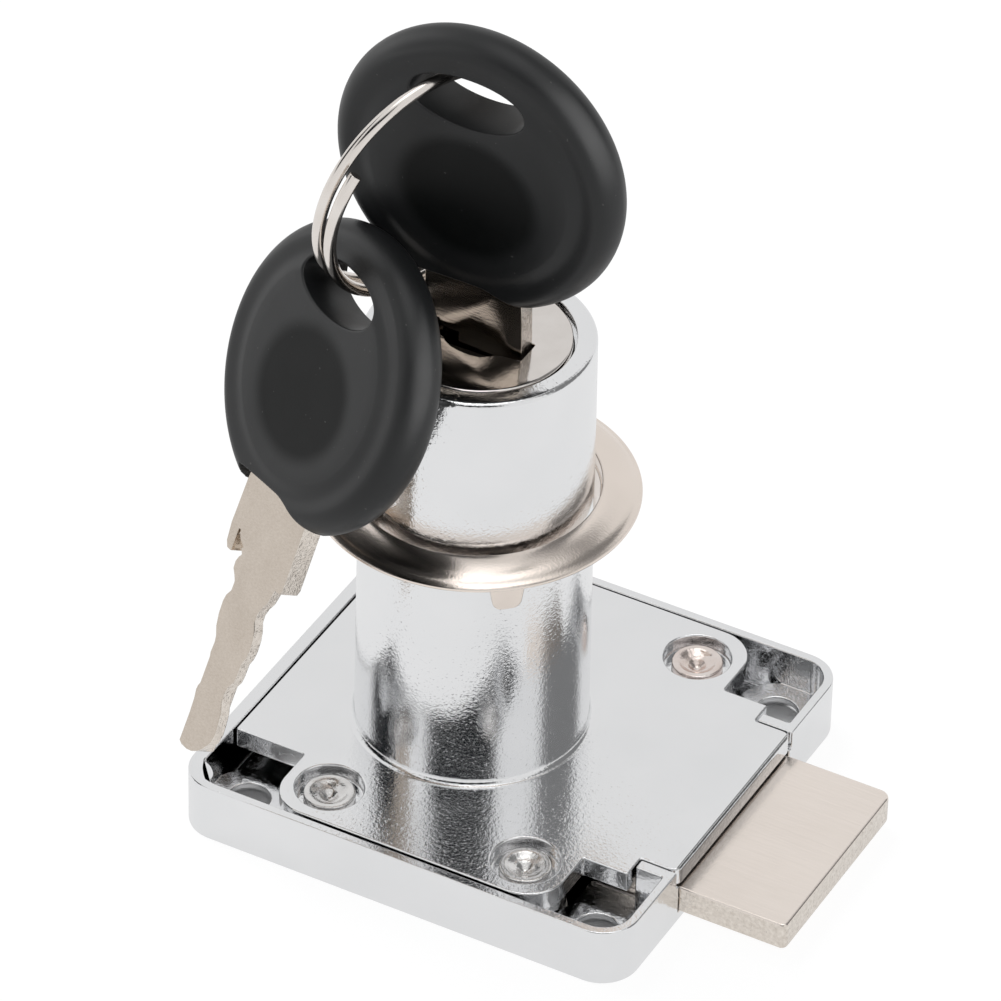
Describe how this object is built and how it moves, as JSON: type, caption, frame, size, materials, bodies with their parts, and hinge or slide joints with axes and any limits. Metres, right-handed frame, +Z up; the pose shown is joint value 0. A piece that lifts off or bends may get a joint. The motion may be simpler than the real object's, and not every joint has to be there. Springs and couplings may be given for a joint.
{
  "type": "drawer lock",
  "caption": "Square rear-mounted drawer lock with a sliding bolt, a long round barrel with a trim ring, and two keys on a split ring.",
  "frame": {"origin": "where the barrel's axis meets the rear face of the tray", "axes": "+X is the bolt's throw, +Z runs up the barrel to the key, +Y completes the frame"},
  "size_m": [0.052, 0.0445, 0.0715],
  "materials": {
    "chrome_cast": "bright chrome on zinc die casting",
    "nickel_plate": "bright nickel on steel",
    "nickel_plug": "dull nickel on zinc die casting",
    "satin_nickel": "satin nickel",
    "nickel_sheet": "satin nickel on pressed steel",
    "key_nickel": "milled, nickel plated",
    "ring_steel": "bright nickel on spring wire",
    "brass": "stamped",
    "spring_steel": "drawn wire",
    "black_plastic": "moulded, satin black"
  },
  "bodies": {
    "base": {"tray": "chrome_cast", "barrel_plate": "chrome_cast"},
    "bolt": {"bolt": "nickel_plate"},
    "plug": {"plug": "nickel_plug", "plug_cap": "satin_nickel", "retainer": "brass", "retainer_spring": "spring_steel", "wafer_spring_1": "spring_steel", "wafer_spring_2": "spring_steel", "wafer_spring_3": "spring_steel", "wafer_spring_4": "spring_steel", "wafer_spring_5": "spring_steel", "wafer_spring_6": "spring_steel", "wafer_spring_7": "spring_steel"},
    "wafers_a": {"wafer_1": "brass", "wafer_3": "brass", "wafer_5": "brass", "wafer_7": "brass"},
    "wafers_b": {"wafer_2": "brass", "wafer_4": "brass", "wafer_6": "brass"},
    "key_1": {"key_1_blade": "key_nickel", "key_1_bow": "black_plastic"},
    "key_ring": {"key_ring": "ring_steel"},
    "key_2": {"key_2_blade": "key_nickel", "key_2_bow": "black_plastic"},
    "trim_ring": {"trim_ring": "nickel_sheet"}
  },
  "joints": [
    {"name": "plug_turn", "type": "hinge", "parent": "base", "child": "plug", "pos_m": [0, 0, 0.02], "axis": [0, 0, 1], "range_deg": [0, 180]},
    {"name": "bolt_slide", "type": "slide", "parent": "base", "child": "bolt", "axis": [-1, 0, 0], "range_m": [0, 0.0094]},
    {"name": "key_1_slide", "type": "slide", "parent": "plug", "child": "key_1", "axis": [0, 0, 1], "range_m": [0, 0.03]},
    {"name": "wafers_a_spring", "type": "slide", "parent": "plug", "child": "wafers_a", "axis": [1, 0, 0], "range_m": [0, 0.0006]},
    {"name": "wafers_b_spring", "type": "slide", "parent": "plug", "child": "wafers_b", "axis": [-1, 0, 0], "range_m": [0, 0.0006]},
    {"name": "ring_turn", "type": "hinge", "parent": "key_1", "child": "key_ring", "pos_m": [-0.00445, -0.00035, 0.05665], "axis": [-0.9186, 0.36, 0.1633], "range_deg": [0, 30]},
    {"name": "key_2_swing", "type": "hinge", "parent": "key_ring", "child": "key_2", "pos_m": [-0.00828, -0.00611, 0.04901], "axis": [0.155, 0.75, -0.643], "range_deg": [-8, 12]},
    {"name": "trim_ring_slide", "type": "slide", "parent": "base", "child": "trim_ring", "axis": [0, 0, 1], "range_m": [-0.0175, 0]}
  ],
  "couplings": [
    {"joint": "bolt_slide", "follows": "plug_turn", "m_per_rad": 0.0029921},
    {"joint": "wafers_a_spring", "follows": "key_1_slide", "ratio": 0.02},
    {"joint": "wafers_b_spring", "follows": "key_1_slide", "ratio": 0.02}
  ]
}
